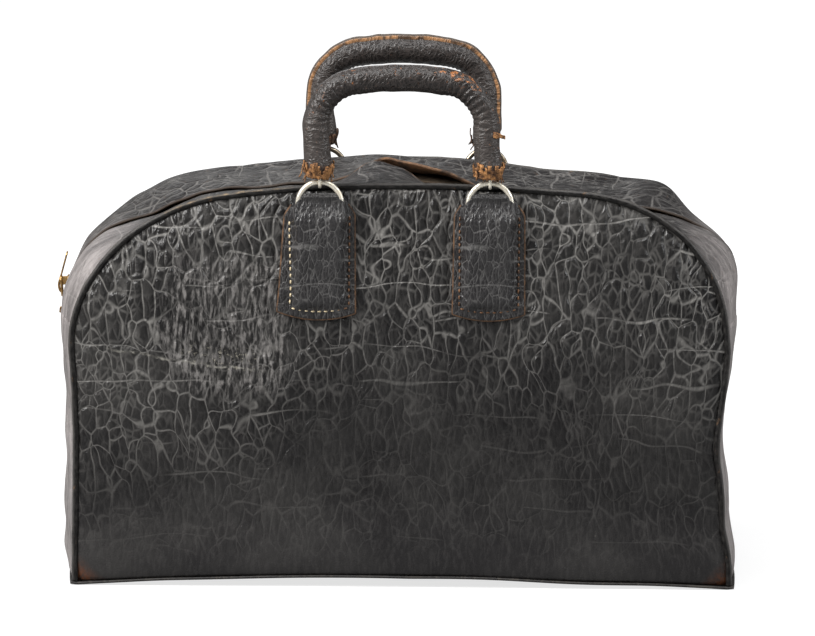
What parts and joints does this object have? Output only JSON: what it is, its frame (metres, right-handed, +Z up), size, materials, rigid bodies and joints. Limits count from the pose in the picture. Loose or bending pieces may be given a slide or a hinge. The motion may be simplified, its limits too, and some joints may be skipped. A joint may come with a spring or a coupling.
{
  "type": "doctor bag",
  "caption": "Domed leather doctor bag with a zip over its soft gusseted top, and rolled leather handles standing on rings held by stitched tabs.",
  "frame": {"origin": "middle of the underside of the base, where the bag stands", "axes": "X along the bag, -Y towards the front, Z up"},
  "size_m": [0.4684, 0.196, 0.3612],
  "materials": {
    "bag_leather": "glossy, deeply creased",
    "gusset_leather": "satin, worn",
    "welt_leather": "satin",
    "handle_leather": "glossy, worn at the bends",
    "lining": "matt cotton",
    "board": "pressed fibreboard",
    "welt_cord": "matt cord",
    "zip_tape": "matt woven",
    "zip_brass": "tarnished",
    "thread": "waxed thread",
    "filler": "raw, hidden",
    "nickel": "worn nickel plate",
    "core": "hidden cord core"
  },
  "bodies": {
    "shell": {"front_panel": "bag_leather", "back_panel": "bag_leather", "base_panel": "bag_leather", "left_gusset": "gusset_leather", "right_gusset": "gusset_leather", "front_left_corner": "gusset_leather", "front_right_corner": "gusset_leather", "back_left_corner": "gusset_leather", "back_right_corner": "gusset_leather", "front_piping": "welt_leather", "back_piping": "welt_leather", "front_piping_cord": "welt_cord", "back_piping_cord": "welt_cord", "front_board": "board", "back_board": "board", "base_board": "board", "front_lining": "lining", "back_lining": "lining", "base_lining": "lining", "left_lining": "lining", "right_lining": "lining", "left_zip_tape": "zip_tape", "right_zip_tape": "zip_tape", "left_zip_teeth": "zip_brass", "right_zip_teeth": "zip_brass", "zip_stops": "zip_brass", "front_left_tab": "bag_leather", "front_right_tab": "bag_leather", "back_left_tab": "bag_leather", "back_right_tab": "bag_leather", "front_left_filler": "filler", "front_right_filler": "filler", "back_left_filler": "filler", "back_right_filler": "filler", "front_tab_stitches": "thread", "back_tab_stitches": "thread"},
    "front_flap": {"front_top_gusset": "gusset_leather", "front_top_lining": "lining", "front_zip_tape": "zip_tape", "front_zip_teeth": "zip_brass"},
    "back_flap": {"back_top_gusset": "gusset_leather", "back_top_lining": "lining", "back_zip_tape": "zip_tape", "back_zip_teeth": "zip_brass"},
    "front_left_ring": {"front_left_ring": "nickel"},
    "front_right_ring": {"front_right_ring": "nickel"},
    "back_left_ring": {"back_left_ring": "nickel"},
    "back_right_ring": {"back_right_ring": "nickel"},
    "front_handle": {"front_handle_cover": "handle_leather", "front_handle_core": "core", "front_handle_staples": "nickel"},
    "back_handle": {"back_handle_cover": "handle_leather", "back_handle_core": "core", "back_handle_staples": "nickel"},
    "slider": {"zip_slider": "zip_brass"},
    "pull": {"zip_pull": "zip_brass"}
  },
  "joints": [
    {"name": "front_flap_open", "type": "hinge", "parent": "shell", "child": "front_flap", "pos_m": [0, -0.073, 0.2715], "axis": [1, 0, 0], "range_deg": [0, 70]},
    {"name": "back_flap_open", "type": "hinge", "parent": "shell", "child": "back_flap", "pos_m": [0, 0.073, 0.2715], "axis": [-1, 0, 0], "range_deg": [0, 70]},
    {"name": "front_left_ring_swing", "type": "hinge", "parent": "shell", "child": "front_left_ring", "pos_m": [-0.057, -0.088, 0.259], "axis": [1, 0, 0], "range_deg": [-10, 25]},
    {"name": "front_right_ring_swing", "type": "hinge", "parent": "shell", "child": "front_right_ring", "pos_m": [0.057, -0.088, 0.259], "axis": [1, 0, 0], "range_deg": [-10, 25]},
    {"name": "back_left_ring_swing", "type": "hinge", "parent": "shell", "child": "back_left_ring", "pos_m": [-0.057, 0.088, 0.259], "axis": [-1, 0, 0], "range_deg": [-10, 25]},
    {"name": "back_right_ring_swing", "type": "hinge", "parent": "shell", "child": "back_right_ring", "pos_m": [0.057, 0.088, 0.259], "axis": [-1, 0, 0], "range_deg": [-10, 25]},
    {"name": "front_handle_fold", "type": "hinge", "parent": "front_left_ring", "child": "front_handle", "pos_m": [-0.057, -0.088, 0.27945], "axis": [1, 0, 0], "range_deg": [-50, 115]},
    {"name": "back_handle_fold", "type": "hinge", "parent": "back_left_ring", "child": "back_handle", "pos_m": [-0.057, 0.088, 0.27945], "axis": [-1, 0, 0], "range_deg": [-50, 115]},
    {"name": "slider_travel", "type": "hinge", "parent": "shell", "child": "slider", "pos_m": [-0.112, 0, 0.15867], "axis": [0, 1, 0], "range_deg": [0, 45]},
    {"name": "pull_swing", "type": "hinge", "parent": "slider", "child": "pull", "pos_m": [-0.23029, 0, 0.19483], "axis": [0, -1, 0], "range_deg": [0, 170]}
  ],
  "couplings": [
    {"joint": "front_right_ring_swing", "follows": "front_left_ring_swing", "ratio": 1},
    {"joint": "back_right_ring_swing", "follows": "back_left_ring_swing", "ratio": 1}
  ]
}
